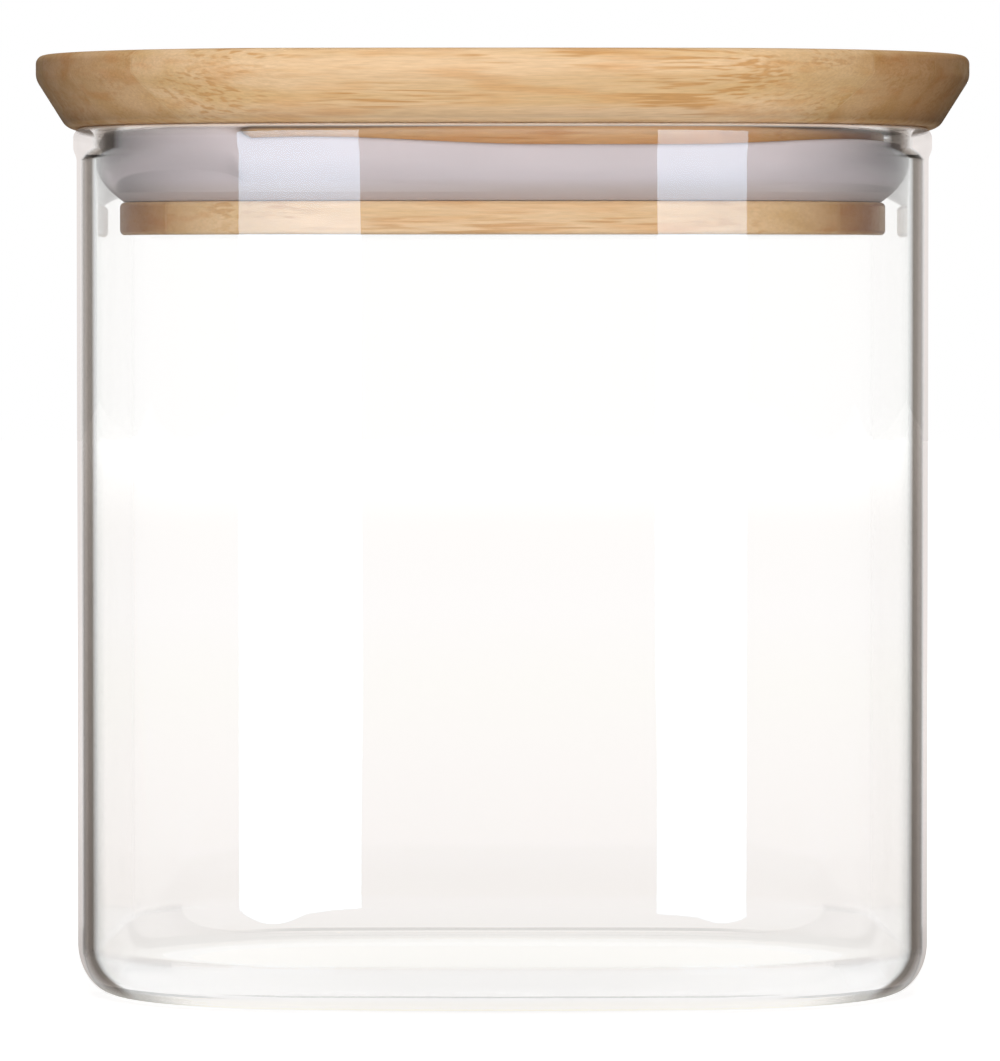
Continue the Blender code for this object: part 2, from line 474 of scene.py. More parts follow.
def rounded_square(name, points, closed=False):
    """A whole piece from its outline, smooth, with its faces pointing outwards."""
    piece = draw_outline(name, points, closed)
    carry_round_plan()
    if not closed:
        close_ends()
    bpy.ops.mesh.select_all(action="SELECT")
    bpy.ops.mesh.normals_make_consistent(inside=False)
    bpy.ops.object.mode_set(mode="OBJECT")
    bpy.ops.object.shade_smooth_by_angle(angle=smooth_below)
    print(name, len(piece.data.polygons), "faces")
    return piece


# %% [markdown]
# ## Glass
# The body is one shell of borosilicate glass: a flat foot ring with the middle pushed up,
# a heel that rounds up a little taller than it is deep, a straight wall and a
# fire-polished bead round the rim. Glass needs both of its surfaces in the mesh, because
# light is bent between them. So the outline runs up the outside, over the rim and down
# the inside. Beyond each curve a holding point keeps the tall wall flat where it is
# shaded smooth.

# %% Glass body
floor_thickness = 1.4 * mm
heel_radius = 4.5 * mm
heel_stretch = 1.3
heel_height = heel_radius * heel_stretch
foot_width = 5.0 * mm
push_up = 0.6 * mm
push_up_run = 8.0 * mm
push_up_steps = 8
bead_height = 3.8 * mm
bead_swells_by = 0.4
hold = 0.4 * mm


def stretch_heel(points, base=0.0):
    """Makes a heel's curve taller than a circle, from its base up."""
    return [(x, base + z * heel_stretch) for x, z in points]


def underside(outer):
    """The pushed-up middle of the foot, from its raised part out to the ring it stands on."""
    raised = outer - foot_width - push_up_run
    points = [(raised, push_up)]
    for step in range(1, push_up_steps + 1):
        share = step / push_up_steps
        lift = push_up * (1 + math.cos(math.pi * share)) / 2
        points.append((raised + push_up_run * share, lift))
    return points


def glass_outline():
    """Up the outside, over the rim and down the inside."""
    foot_outer = glass_half - heel_radius
    inner_half = glass_half - wall
    rim_z = glass_high.z

    under = underside(foot_outer)
    heel = stretch_heel(arc((foot_outer, heel_radius), heel_radius, -right_angle, 0.0, steps=20))
    outer_wall = [(glass_half, heel_height + hold)]

    rim_half = (wall + bead_proud) / 2
    bead_base = rim_z - bead_height
    low = (glass_half, bead_base)
    high = (glass_half + bead_proud, bead_base + bead_height * bead_swells_by)
    bead = [(glass_half, bead_base - hold), low] + swell(low, high, steps=6) + [high]
    rim = arc((inner_half + rim_half, rim_z - rim_half), rim_half, 0.0, math.pi, steps=20)

    inner_radius = heel_radius - wall
    inner_centre = (inner_half - inner_radius, inner_radius)
    inner_heel = arc(inner_centre, inner_radius, 0.0, -right_angle, steps=12)
    inner_heel = stretch_heel(inner_heel, floor_thickness)
    inner_wall = [(inner_half, rim_z - rim_half - hold), (inner_half, inner_heel[0][1] + hold)]
    floor = [(x, z + floor_thickness) for x, z in reversed(under)]
    return under + heel + outer_wall + bead + rim + inner_wall + inner_heel + floor


glass = rounded_square("glass_body", glass_outline())

# %% [markdown]
# The bead was rolled against the flame and came out flatter along the front and the back
# than at the sides. Each ring of it is pressed in there by most of what it stands proud.

# %% Flatter bead
bead_pressed = 0.9


def beyond_core(spot):
    """How far a point lies from the square that joins the four corner centres."""
    return math.hypot(max(abs(spot.x) - core_corner, 0), max(abs(spot.y) - core_corner, 0))


def edit_mesh(piece):
    """Opens one piece in edit mode, by its vertices, and gives its live mesh."""
    bpy.ops.object.select_all(action="DESELECT")
    bpy.context.view_layer.objects.active = piece
    piece.select_set(True)
    bpy.ops.object.mode_set(mode="EDIT")
    bpy.ops.mesh.select_mode(type="VERT")
    bpy.ops.mesh.select_all(action="DESELECT")
    return bmesh.from_edit_mesh(piece.data)


def press_bead(piece):
    """Flattens the bead's rings front and back, each in proportion to its swelling."""
    shape = edit_mesh(piece)
    at_side = [v.co for v in shape.verts if abs(v.co.y) < merge_distance]
    rings = sorted((spot.z, spot.x) for spot in at_side if spot.x > glass_half + merge_distance)
    for ring_z, ring_x in rings:
        bpy.ops.mesh.select_all(action="DESELECT")
        for vert in shape.verts:
            outer = beyond_core(vert.co) > corner_radius - wall / 4
            vert.select = outer and abs(vert.co.z - ring_z) < merge_distance
        shape.select_flush_mode()
        bmesh.update_edit_mesh(piece.data)
        factor = 1 - bead_pressed * (ring_x - glass_half) / ring_x
        bpy.ops.transform.resize(value=(1, factor, 1), center_override=(0, 0, 0))
    bpy.ops.object.mode_set(mode="OBJECT")
    print("rings of the bead pressed:", len(rings))


press_bead(glass)

# %% [markdown]
# ## Bamboo board
# The board is cut square at its upper edge and bevelled below, and every edge is sanded
# round. Its outline starts at the underside and runs up to the top.

# %% Board
board_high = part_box("lid_board")[1]
board_half = board_high.x
board_rest = 0.05 * mm
board_base = glass_high.z + board_rest
board_top = board_high.z
board_band = 2.7 * mm
bevel_run = 3.5 * mm
board_round = 1.0 * mm
board_round_below = 1.4 * mm


def board_outline():
    """The lower edge, the knee between bevel and band, and the upper edge."""
    bevel_height = board_top - board_base - board_band
    slope = math.atan2(bevel_height, bevel_run)
    set_in = board_round_below * math.tan(slope / 2)
    low_centre = (board_half - bevel_run - set_in, board_base + board_round_below)
    low = arc(low_centre, board_round_below, -right_angle, slope - right_angle, steps=10)
    knee_radius = 2 * board_round
    knee_turn = right_angle - slope
    knee_z = board_base + bevel_height + knee_radius * math.tan(knee_turn / 2)
    knee = arc((board_half - knee_radius, knee_z), knee_radius, -knee_turn, 0.0, steps=6)
    high_centre = (board_half - board_round, board_top - board_round)
    high = arc(high_centre, board_round, 0.0, right_angle, steps=10)
    return low + knee + high


board = rounded_square("bamboo_board", board_outline())

# %% [markdown]
# ## Bamboo plug
# Under the board sits a plug of the same wood. A groove is milled round it for the seal,
# so it has a neck, a waist and a disc. Here it meets the board, as a glued joint does.

# %% Plug
plug_low, plug_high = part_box("lid_plug")
plug_half = plug_high.x
neck_height = 3.1 * mm
groove_height = 5.6 * mm
groove_depth = 4.0 * mm
disc_round = 0.6 * mm
neck_base = plug_high.z - neck_height
disc_top = neck_base - groove_height


def plug_outline():
    """The neck, the groove and the disc with its two rounded edges."""
    waist = plug_half - groove_depth
    edge = plug_half - disc_round
    neck = [(plug_half, board_base), (plug_half, neck_base)]
    groove = [(waist, neck_base), (waist, disc_top)]
    high = arc((edge, disc_top - disc_round), disc_round, right_angle, 0.0, steps=8)
    low = arc((edge, plug_low.z + disc_round), disc_round, 0.0, -right_angle, steps=8)
    return neck + groove + high + low


plug = rounded_square("bamboo_plug", plug_outline())

# %% [markdown]
# ## Silicone seal
# The seal is a ring with a foot in the groove and a thin lip that flares up and out like
# a bowl, to press on the glass.

# %% Seal
seal_gap = 0.15 * mm
seal_fit = 0.05 * mm
foot_inset = 0.45 * mm
lip_thickness = 1.2 * mm
lip_rise = 0.75 * mm
lip_band = 1.4 * mm
lip_flare = 1.9
lip_steps = 20
trough_depth = 2.4 * mm
foot_half = plug_half - foot_inset
lip_half = glass_half - wall - seal_gap


def seal_outline():
    """The bowl of the lip, its rounded edge, the trough inside it and the foot."""
    inner = plug_half - groove_depth + seal_fit
    base = disc_top + seal_fit
    foot_top = neck_base - seal_fit
    lip_top = neck_base + lip_rise
    lip_round = lip_thickness / 2
    lip_base = lip_top - lip_round - lip_band
    bowl = []
    for step in range(lip_steps + 1):
        below = 1 - step / lip_steps
        x = lip_half - (lip_half - foot_half) * below**lip_flare
        bowl.append((x, lip_base - (lip_base - base) * below))
    lip = arc((lip_half - lip_round, lip_top - lip_round), lip_round, 0.0, math.pi, steps=12)
    trough = [
        (lip_half - lip_thickness, foot_top - trough_depth / 2),
        (foot_half, foot_top - trough_depth),
        (foot_half - lip_round, foot_top),
    ]
    return [(inner, base)] + bowl + lip + trough + [(inner, foot_top)]


seal = rounded_square("seal_lip", seal_outline(), closed=True)

# %% [markdown]
# A soft lip never sits quite level. Pushed into the glass, it creeps up at the corners: at
# the front left one it reaches the board, and along the front it waves a little. Each
# wave is one vertex of the lip's edge, pulled up with its surroundings, while the foot of
# the ring is hidden so that it stays where it is. A wave has a corner of the plan, a
# bearing round it in degrees, a rise, a reach and the way that the pull fades.

# %% Waves in the lip
lip_waves = (
    ((-1, -1), 45, 2.1 * mm, 12.0 * mm, "SPHERE"),
    ((1, -1), 45, 0.7 * mm, 20.0 * mm, "SMOOTH"),
    ((-1, -1), 2, 0.85 * mm, 26.0 * mm, "SMOOTH"),
    ((1, 1), 45, 0.7 * mm, 20.0 * mm, "SMOOTH"),
    ((-1, 1), 45, 1.1 * mm, 18.0 * mm, "SMOOTH"),
)


def lift_lip(piece, corner, bearing, rise, reach, falloff):
    """Pulls the lip's edge up at a bearing round one corner of the plan."""
    radius = lip_half - lip_thickness / 2 - core_corner
    turn = math.radians(bearing)
    x = corner[0] * (core_corner + radius * math.sin(turn))
    y = corner[1] * (core_corner + radius * math.cos(turn))
    spot = Vector((x, y, neck_base + lip_rise))
    shape = edit_mesh(piece)
    for vert in shape.verts:
        inside = beyond_core(vert.co) < foot_half - core_corner + merge_distance
        low = vert.co.z < disc_top + lip_thickness
        vert.select = inside or low
    shape.select_flush_mode()
    bmesh.update_edit_mesh(piece.data)
    bpy.ops.mesh.hide(unselected=False)
    nearest = min((v for v in shape.verts if not v.hide), key=lambda v: (v.co - spot).length)
    nearest.select = True
    bmesh.update_edit_mesh(piece.data)
    bpy.ops.transform.translate(
        value=(0, 0, rise),
        use_proportional_edit=True,
        proportional_edit_falloff=falloff,
        proportional_size=reach,
    )
    bpy.ops.mesh.reveal(select=False)
    bpy.ops.object.mode_set(mode="OBJECT")


for wave in lip_waves:
    lift_lip(seal, *wave)
print("lip top in mm:", round(max(v.co.z for v in seal.data.vertices) / mm, 2))

# %% [markdown]
# ## Glass finish
# Clear glass has no colour of its own. What draws it is the way it bends light: near an
# edge it shows what stands beside the white backdrop, and that is the dark of the room.
# Here a tint on the outer surface, by its angle to the eye, gives that dark line on every
# side: a painted reflection of the dark room. It starts from where a ray meets the glass:
# how high, on which surface, how steep and how far round a corner. The outer surface is
# told from the inner one by its normal, which points away from the jar's axis. The corners
# are found by what lies past the square between their centres, and that square's third side
# is put far above the jar, so that the height doesn't count.

# %% Places on the glass
upright_slopes = (0.96, 0.995)
corner_start = (0.0, 3.0 * mm)
level_ground = (1.0, 1.0, 0.0)
far_above = 1.0

glass_finish = bpy.data.materials.new("clear_glass")
tree = new_tree(glass_finish)
coordinates = add(tree, "ShaderNodeTexCoord").outputs
place = coordinates["Object"]
normal = coordinates["Normal"]
height = axes_of(tree, place)["Z"]
outwards = vector_step(tree, "MULTIPLY", place, level_ground)
outer_side = sum_up(tree, "GREATER_THAN", vector_step(tree, "DOT_PRODUCT", outwards, normal), 0.0)
slope = sum_up(tree, "ABSOLUTE", axes_of(tree, normal)["Z"])
upright = rescale(tree, slope, upright_slopes, (1.0, 0.0))
past_core = vector_step(tree, "ABSOLUTE", place)
past_core = vector_step(tree, "SUBTRACT", past_core, (core_corner, core_corner, far_above))
past_core = vector_step(tree, "MAXIMUM", past_core, (0, 0, 0))
beyond = vector_step(tree, "LENGTH", past_core)
past_axes = axes_of(tree, past_core)
into_corner = step_up(tree, sum_up(tree, "MINIMUM", past_axes["X"], past_axes["Y"]), corner_start)
print("square between the corner centres in mm:", round(2 * core_corner / mm, 1))

# %% [markdown]
# The angle to the eye is read in two ways. Along the wall the normal is first laid level,
# so that looking down on the jar doesn't widen the line, and the bead is taken as turned
# a little more. Where the heel turns under at a corner, the true normal takes over, and
# the line curls in below the glass. Lower down the line is darker, as in the photograph.

# %% Dark line at the edges
layer_blend = 0.5
bead_turn = 0.2
bead_turn_rise = bead_height / 3
low_heights = (1.2 * heel_height, 1.5 * heel_height)
heel_turning = (0.42, 0.56)
# Painted reflection of the dark room: the tint by the angle to the eye, darkest where the edge turns away.
edge_stops = (
    (0.40, (1.0, 1.0, 1.0)),
    (0.54, (0.97, 0.97, 0.965)),
    (0.60, (0.91, 0.92, 0.91)),
    (0.622, (0.77, 0.78, 0.78)),
    (0.642, (0.55, 0.54, 0.53)),
    (0.66, (0.26, 0.235, 0.21)),
    (0.705, (0.29, 0.255, 0.23)),
    (0.735, (0.42, 0.38, 0.35)),
    (0.80, (0.64, 0.61, 0.59)),
    (0.86, (0.76, 0.75, 0.73)),
    (1.0, (0.80, 0.79, 0.78)),
)
edge_lower_down = (
    (0.0, 0.65),
    (0.11, 0.65),
    (0.22, 0.72),
    (0.34, 0.78),
    (0.45, 0.83),
    (0.6, 0.92),
    (0.8, 0.97),
    (1.0, 1.0),
)
edge_darkens = ((0.52, 0.66), (0.745, 0.80))

level_normal = vector_step(tree, "NORMALIZE", vector_step(tree, "MULTIPLY", normal, level_ground))
facing = add(tree, "ShaderNodeLayerWeight", {"Blend": layer_blend, "Normal": level_normal}).outputs["Facing"]
bead_start = glass_high.z - bead_height
on_bead = rescale(tree, height, (bead_start, bead_start + bead_turn_rise), (0.0, bead_turn))
facing = sum_up(tree, "ADD", facing, on_bead)
true_facing = add(tree, "ShaderNodeLayerWeight", {"Blend": layer_blend}).outputs["Facing"]
low = rest_of(tree, step_up(tree, height, low_heights))
turning = product(tree, low, step_up(tree, facing, heel_turning))
edge = blend(tree, turning, ramp(tree, facing, edge_stops), ramp(tree, true_facing, edge_stops))
lower_down = ramp(tree, sum_up(tree, "DIVIDE", height, glass_high.z), edge_lower_down)
for angles in edge_darkens:
    edge = shade_with(tree, edge, blend(tree, step_up(tree, facing, angles), white, lower_down))
edge = blend(tree, into_corner, white, edge)
print("low part of the glass in mm:", round(low_heights[1] / mm, 1))

# %% [markdown]
# A finer dark line is painted round the foot, where the glass turns under to stand on the
# table, as painted shade for the dark that bent light shows there. It is faint where it
# faces the eye, deepens as it turns away and widens there into a wedge.

# %% Dark line round the foot
foot_reach = 1.8 * mm
foot_line_low = (0.68, 0.76)
foot_line_high = (0.88, 0.97)
foot_line_shades = (
    (0.0, 0.03),
    (0.09, 0.13),
    (0.16, 0.26),
    (0.3, 0.32),
    (0.42, 0.42),
    (0.55, 0.44),
    (0.7, 0.1),
)
foot_wedge_facing = (0.1, 0.4)

up_foot = sum_up(tree, "DIVIDE", height, foot_reach)
wedge = step_up(tree, facing, foot_wedge_facing)
foot_shade = sum_up(tree, "MAXIMUM", step_up(tree, up_foot, foot_line_low), wedge)
foot_end = rest_of(tree, step_up(tree, up_foot, foot_line_high))
foot_shade = product(tree, foot_shade, foot_end, ramp(tree, facing, foot_line_shades))
edge = shade_with(tree, edge, rest_of(tree, foot_shade))
print("line round the foot, up to mm:", round(foot_reach / mm, 1))

# %% [markdown]
# ## Where the glass stays clear
# The renderer follows a ray through a few surfaces only and then calls it black. A ray in
# the curved base, or at the very edge of the outline, would meet many more before it
# came out bright. So those stretches, called base and skin here, are mostly clear air
# that doesn't bend light, and so is the level top of the rim. The skin is on the outer
# surface only, and the middle of the wall, which leans in over the heel, parts that from
# the inner one. Lamps reach the inside in the same way, because shadow rays pass all of
# the glass as thin air.

# %% Clear stretches
skin_facing = (0.765, 0.83)
skin_clear = 0.92
wall_leans_in = 0.42
level_slopes = (0.90, 0.97)
rim_top_shares = (0.7, 0.4)
heel_clear = (4.2 * mm, 5.8 * mm)
base_clear = 0.9


def below_rim(shares):
    """Heights below the rim's top, given in shares of the wall's thickness."""
    return [glass_high.z - share * wall for share in shares]


rays = add(tree, "ShaderNodeLightPath").outputs
clear = sum_up(tree, "MAXIMUM", rays["Is Shadow Ray"], rays["Is Diffuse Ray"])
drop = sum_up(tree, "MAXIMUM", sum_up(tree, "SUBTRACT", heel_height, height), 0.0)
middle_of_wall = sum_up(tree, "MULTIPLY_ADD", drop, -wall_leans_in, corner_radius - wall / 2)
outer_half = sum_up(tree, "GREATER_THAN", beyond, middle_of_wall)
skin = product(tree, step_up(tree, facing, skin_facing), skin_clear, upright, outer_half)
clear = sum_up(tree, "MAXIMUM", clear, skin)
rim_top = step_up(tree, height, below_rim(rim_top_shares))
level_rim = product(tree, step_up(tree, slope, level_slopes), rim_top)
base = rest_of(tree, step_up(tree, height, heel_clear))
rim_and_base = product(tree, sum_up(tree, "MAXIMUM", level_rim, base), base_clear)
clear = sum_up(tree, "MAXIMUM", clear, rim_and_base)
print("clear base, up to mm:", round(heel_clear[0] / mm, 1))

# %% [markdown]
# Clear air shows nothing of itself, so what bent light would draw there is put into its
# tint. There is a thin grey line where the floor meets the front and the back wall, and
# it fades towards the corners. The skin is a little grey and warm, more so lower down,
# and the outside of the heel carries on the dark line of the edge.

# %% Tint of the clear stretches
glass_shade = 0.985
floor_line_low = (0.04 * mm, 0.12 * mm)
floor_line_high = (0.34 * mm, 0.46 * mm)
floor_line_shade = 0.24
floor_line_fades = (24 * mm, 36 * mm)
skin_shade = 0.13
skin_darkens = 0.85
skin_tint = (1.0, 0.93, 0.90)
foot_tints = (
    (0.08, (0.88, 0.86, 0.79)),
    (0.25, (0.94, 0.92, 0.88)),
    (0.6, (0.94, 0.92, 0.88)),
    (0.8, (1.0, 1.0, 1.0)),
)

above_floor = sum_up(tree, "SUBTRACT", height, floor_thickness)
line_end = step_up(tree, above_floor, floor_line_high)
line = sum_up(tree, "SUBTRACT", step_up(tree, above_floor, floor_line_low), line_end)
from_middle = sum_up(tree, "ABSOLUTE", axes_of(tree, place)["X"])
faded = rest_of(tree, step_up(tree, from_middle, floor_line_fades))
inner_half = sum_up(tree, "LESS_THAN", beyond, middle_of_wall)
on_heel = sum_up(tree, "GREATER_THAN", beyond, corner_radius - heel_radius)
line = product(tree, line, inner_half, faded, on_heel)
air_tint = sum_up(tree, "SUBTRACT", glass_shade, product(tree, line, floor_line_shade))

skin_outside = product(tree, skin, outer_side)
darker = sum_up(tree, "MULTIPLY_ADD", lower_down, -skin_darkens, skin_darkens + skin_shade)
air_tint = sum_up(tree, "SUBTRACT", air_tint, product(tree, skin_outside, darker))
air_tint = shade_with(tree, air_tint, blend(tree, skin_outside, white, skin_tint))

heel_outside = product(tree, low, outer_side, outer_half, rest_of(tree, skin))
heel_tint = shade_with(tree, edge, ramp(tree, up_foot, foot_tints))
air_tint = shade_with(tree, air_tint, blend(tree, heel_outside, white, heel_tint))
air = add(tree, "ShaderNodeBsdfTransparent", {"Color": air_tint})
print("floor line fades from mm:", round(floor_line_fades[0] / mm))

# %% [markdown]
# Last comes the glass itself. Blown glass is never quite even, so a faint, slow ripple
# bends the reflections. The edge tint lies on its upright outer surface only. The top of
# the rim is mixed with a warm matt white, lit by the rim's own lights: a painted highlight
# for the bright line along the rim.

# %% Glass, air and painted rim highlight
glass_ior = 1.47
glass_clear = (0.997, 0.994, 0.990)
ripples = (45, 45, 22)
ripple_strength = 0.06
ripple_depth = 0.4 * mm
# Painted highlight on the rim's top: a warm matt white mixed into the glass.
rim_highlight_share = 0.05
rim_highlight_on_top = 0.80
rim_highlight_colour = (0.86, 0.80, 0.72)
rim_highlight_heights = (0.24, 0.05)

tint = blend(tree, product(tree, outer_side, upright), glass_clear, edge)
ripple = noise(tree, place, ripples, detail=1.0)
links = {"Strength": ripple_strength, "Distance": ripple_depth, "Height": ripple}
bump = add(tree, "ShaderNodeBump", links).outputs[0]
links = {"Color": tint, "Roughness": 0.0, "IOR": glass_ior, "Normal": bump}
shader = add(tree, "ShaderNodeBsdfGlass", links)
mix = add(tree, "ShaderNodeMixShader", {0: clear, 1: shader.outputs[0], 2: air.outputs[0]})
rim_highlight_shader = add(tree, "ShaderNodeBsdfDiffuse", {"Color": rim_highlight_colour + (1.0,)})
on_top = step_up(tree, height, below_rim(rim_highlight_heights))
rim_highlight_mix = sum_up(tree, "MULTIPLY_ADD", on_top, rim_highlight_on_top, product(tree, rim_top, rim_highlight_share))
mix = add(tree, "ShaderNodeMixShader", {0: rim_highlight_mix, 1: mix.outputs[0], 2: rim_highlight_shader.outputs[0]})
add(tree, "ShaderNodeOutputMaterial", {"Surface": mix.outputs[0]})
glass.data.materials.append(glass_finish)
print("nodes in the glass:", len(tree.nodes))

# %% [markdown]
# ## Bamboo finish
# The wood is strips of bamboo glued side by side, with their fibres along the jar's width.
# Each strip has its own tone and its own number. The number draws where its pattern
# starts and where its dark knuckle sits, so that no two strips look alike.

# %% Strips
bamboo_brown = (0.54, 0.29, 0.11)
bamboo_glue = (0.36, 0.21, 0.09)
glue_line = 0.16 * mm
glue_shade = 0.12
knuckle_half = 1.6 * mm
knuckle_shade = 0.5
knuckle_spread = 260 * mm
knuckle_number = 0.5


def steps(tree, factor, levels):
    """A ramp that jumps from one level to the next at equal distances."""
    node = add(tree, "ShaderNodeValToRGB", {0: factor})
    node.color_ramp.interpolation = "CONSTANT"
    elements = node.color_ramp.elements
    elements.remove(elements[-1])
    elements[0].color = (levels[0], levels[0], levels[0], 1.0)
    for number, level in enumerate(levels[1:], start=1):
        elements.new(number / len(levels)).color = (level, level, level, 1.0)
    return node.outputs[0]


def chance(tree, number):
    """A level from 0 to 1 that is always the same for the same number."""
    return add(tree, "ShaderNodeTexWhiteNoise", {"W": number}, noise_dimensions="1D").outputs["Value"]


def darken_knuckles(tree, colour, axes, number):
    """A dark knuckle at a chance place along each strip."""
    spot = chance(tree, sum_up(tree, "ADD", number, knuckle_number))
    spot = sum_up(tree, "MULTIPLY_ADD", spot, knuckle_spread, -knuckle_spread / 2)
    distance = sum_up(tree, "ABSOLUTE", sum_up(tree, "SUBTRACT", axes["X"], spot))
    knuckle = rescale(tree, distance, (0.0, knuckle_half), (knuckle_shade, 0.0))
    return blend(tree, knuckle, colour, bamboo_brown)


def draw_glue_lines(tree, colour, strips, strip_width):
    """A fine line where two strips meet."""
    share = sum_up(tree, "FRACT", strips)
    near = sum_up(tree, "MINIMUM", share, rest_of(tree, share))
    line = sum_up(tree, "LESS_THAN", near, glue_line / strip_width / 2)
    return blend(tree, product(tree, line, glue_shade), colour, bamboo_glue)


# %% [markdown]
# The pattern in a strip is a solid one: noise stretched along x gives long dashes on the
# front and the back, and small flecks where the corners cut through the fibres. Broad
# streaks and warm patches lie under the dashes, and the dashes come in clusters.

# %% Fibres
bamboo_light = (0.735, 0.515, 0.31)
bamboo_gold = (0.655, 0.435, 0.22)
bamboo_orange = (0.62, 0.31, 0.11)
streak_grain = (16, 260, 340)
patch_grain = (75, 260, 620)
dash_grain = (110, 1900, 2600)
cluster_grain = (40, 190, 250)
fibre_grain = (380, 5200, 5200)
fibre_roughness = 0.6
streak_colours = ((0.36, bamboo_gold), (0.60, bamboo_light))
patch_warmth = ((0.52, 0.0), (0.68, 0.42))
dash_shades = ((0.50, 0.0), (0.63, 0.85))
cluster_shares = ((0.45, 0.08), (0.57, 1.0))
fainter_when_cut = ((0.2, 1.0), (0.7, 0.3))
fibre_tones = ((0.3, 0.90), (0.7, 1.06))


def bamboo_fibres(tree, axes, number, cut):
    """The colour inside a strip, with the dashes and the fibres that also stand in relief."""
    along = sum_up(tree, "ADD", axes["X"], chance(tree, number))
    wood = add(tree, "ShaderNodeCombineXYZ", {"X": along, "Y": axes["Y"], "Z": axes["Z"]}).outputs[0]
    streaks = noise(tree, wood, streak_grain, detail=3.0)
    patches = noise(tree, wood, patch_grain, detail=2.0)
    dashes = noise(tree, wood, dash_grain, detail=1.0)
    clusters = noise(tree, wood, cluster_grain, detail=1.0)
    fibres = noise(tree, wood, fibre_grain, detail=2.0, roughness=fibre_roughness)

    colour = ramp(tree, streaks, streak_colours)
    colour = blend(tree, ramp(tree, patches, patch_warmth), colour, bamboo_orange)
    clustered = ramp(tree, clusters, cluster_shares)
    fainter = ramp(tree, sum_up(tree, "ABSOLUTE", cut), fainter_when_cut)
    dark = product(tree, ramp(tree, dashes, dash_shades), clustered, fainter)
    colour = blend(tree, dark, colour, bamboo_brown)
    return shade_with(tree, colour, ramp(tree, fibres, fibre_tones)), dashes, fibres


# %% [markdown]
# One function makes both woods. The corners show the cut ends of the fibres, which are
# darker, so the colour also follows how far the surface turns left or right; part of that
# darkening is painted shade on the sides that turn from the light. It follows the height
# too, as painted light and shade: the board's lowest edge is painted paler with a painted
# shadow above it and its top band a little lighter, and the plug's neck has painted shade
# under the board. The plug's underside is lacquered smooth.

# %% Bamboo
bump_depth = 0.08 * mm
bump_strength = 0.27
wood_shine = 0.12
dash_levels = (0.3, 0.7)
wood_roughness = (0.42, 0.58)
lacquer_roughness = 0.0
facing_down = -0.98
strip_dark = (0.82, 0.73, 0.64)
strip_light = (1.04, 1.04, 1.04)


def bamboo(name, half_width, tones, ends, edge, seed, lacquered_below=False):
    """Bamboo glued from strips of the given tones, front to back, with a pattern of its own."""
    strip_width = 2 * half_width / len(tones)
    material = bpy.data.materials.new(name)
    tree = new_tree(material)
    coordinates = add(tree, "ShaderNodeTexCoord").outputs
    axes = axes_of(tree, coordinates["Object"])
    turned = axes_of(tree, coordinates["Normal"])
    strips = sum_up(tree, "DIVIDE", sum_up(tree, "ADD", axes["Y"], half_width), strip_width)
    number = sum_up(tree, "ADD", sum_up(tree, "FLOOR", strips), seed)
    tone = steps(tree, sum_up(tree, "DIVIDE", strips, len(tones)), tones)

    colour, dashes, fibres = bamboo_fibres(tree, axes, number, turned["X"])
    colour = shade_with(tree, colour, ramp(tree, tone, ((0.0, strip_dark), (1.0, strip_light))))
    colour = darken_knuckles(tree, colour, axes, number)
    colour = draw_glue_lines(tree, colour, strips, strip_width)
    # Darker towards the left and the right: partly the darker cut ends, partly painted shade on the sides
    # that turn from the light.
    towards_right = rescale(tree, turned["X"], (-1.0, 1.0), (0.0, 1.0))
    end_grain_and_painted_shade = ramp(tree, towards_right, [((side + 1) / 2, shade) for side, shade in ends])
    colour = shade_with(tree, colour, end_grain_and_painted_shade)
    # Painted light and shade by height above the board's underside.
    first, last = edge[0][0], edge[-1][0]
    above = rescale(tree, axes["Z"], (board_base + first, board_base + last), (0.0, 1.0))
    painted_by_height = ramp(tree, above, [((at - first) / (last - first), shade) for at, shade in edge])
    colour = shade_with(tree, colour, painted_by_height)

    lacquered = product(tree, sum_up(tree, "LESS_THAN", turned["Z"], facing_down), float(lacquered_below))
    roughness = rescale(tree, dashes, dash_levels, wood_roughness)
    roughness = pick(tree, lacquered, roughness, lacquer_roughness)
    relief = {"Strength": product(tree, rest_of(tree, lacquered), bump_strength), "Distance": bump_depth}
    bump = add(tree, "ShaderNodeBump", {**relief, "Height": fibres}).outputs[0]
    bump = add(tree, "ShaderNodeBump", {**relief, "Height": dashes, "Normal": bump}).outputs[0]
    links = {"Base Color": colour, "Roughness": roughness, "Normal": bump}
    links["Specular IOR Level"] = wood_shine
    shader = add(tree, "ShaderNodeBsdfPrincipled", links)
    add(tree, "ShaderNodeOutputMaterial", {"Surface": shader.outputs[0]})
    print(name, "from", len(tones), "strips")
    return material


# %% Wood of the board
board_strips = (0.88, 0.40, 0.20, 0.70, 0.45, 0.90, 0.60, 0.25, 0.75, 0.50, 0.20, 0.35, 0.80)
board_pattern = 3.0
# Partly the darker cut ends, partly painted shade on the sides, deeper on the right.
board_end_grain_and_shade = (
    (-1.0, (0.82, 0.80, 0.86)),
    (-0.9, (0.81, 0.77, 0.78)),
    (-0.5, (0.90, 0.885, 0.85)),
    (-0.25, (0.97, 0.97, 0.96)),
    (0.0, (1.0, 1.0, 1.0)),
    (0.25, (0.96, 0.95, 0.92)),
    (0.4, (0.86, 0.83, 0.76)),
    (0.5, (0.83, 0.80, 0.73)),
    (0.7, (0.70, 0.60, 0.49)),
    (0.9, (0.69, 0.61, 0.54)),
    (1.0, (0.72, 0.65, 0.60)),
)
